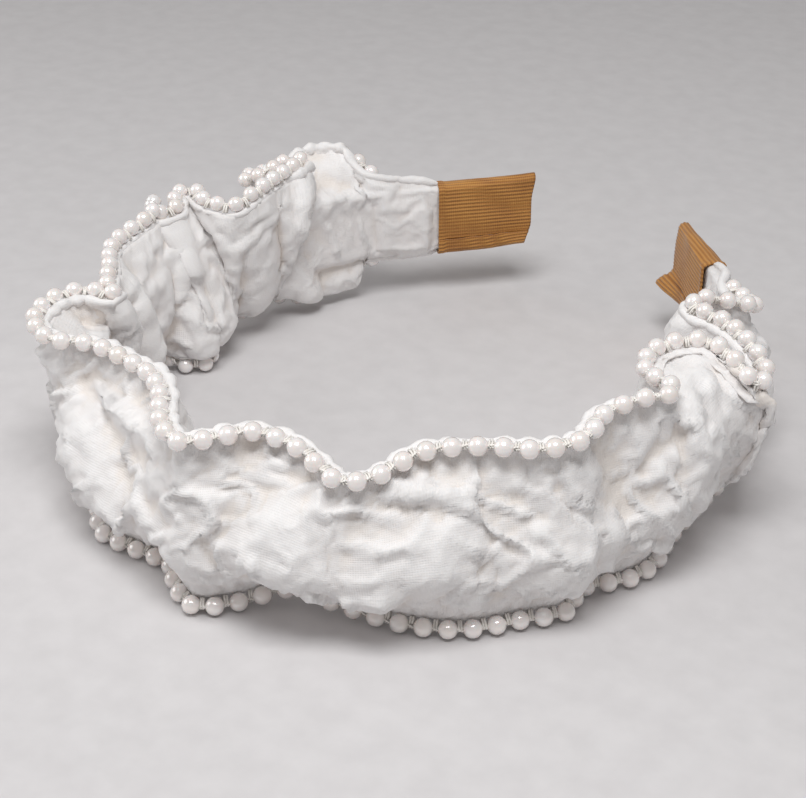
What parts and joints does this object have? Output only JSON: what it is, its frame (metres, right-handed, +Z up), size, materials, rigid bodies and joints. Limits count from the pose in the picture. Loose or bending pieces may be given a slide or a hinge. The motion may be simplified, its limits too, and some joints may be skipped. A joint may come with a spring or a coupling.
{
  "type": "headband",
  "caption": "Springy curved headband in a gathered cotton casing, with beads along both ruffled hems and a ribbon wrapped round each end.",
  "frame": {"origin": "under the middle of the headband's outer box, on the surface that it stands on", "axes": "+Z up; the crown is towards -Y and the two ends towards +Y; +X is the wearer's right arm of the band"},
  "size_m": [0.1616, 0.1682, 0.0448],
  "materials": {
    "core": "satin moulded plastic",
    "casing": "crinkled white cotton, soft sheen",
    "beads": "pearl lacquer",
    "ribbon": "ribbed grosgrain"
  },
  "bodies": {
    "left_half": {"core_band_left": "core", "lining_panel_left": "casing", "lower_beads_left_1": "beads", "lower_beads_left_2": "beads", "lower_beads_left_3": "beads", "lower_frill_left": "casing", "outer_panel_left": "casing", "ribbon_left": "ribbon", "upper_beads_left_1": "beads", "upper_beads_left_2": "beads", "upper_beads_left_3": "beads", "upper_beads_left_4": "beads", "upper_beads_left_5": "beads", "upper_frill_left": "casing"},
    "right_half": {"core_band_right": "core", "lining_panel_right": "casing", "lower_beads_right_1": "beads", "lower_beads_right_2": "beads", "lower_beads_right_3": "beads", "lower_frill_right": "casing", "outer_panel_right": "casing", "ribbon_right": "ribbon", "upper_beads_right_1": "beads", "upper_beads_right_2": "beads", "upper_beads_right_3": "beads", "upper_beads_right_4": "beads", "upper_frill_right": "casing"}
  },
  "joints": [
    {"name": "arm_spread", "type": "hinge", "parent": "left_half", "child": "right_half", "pos_m": [-0.00163, -0.07417, 0.02161], "axis": [0, 0, -1], "range_deg": [-6, 20], "stiffness_Nm_per_rad": 0.7}
  ]
}
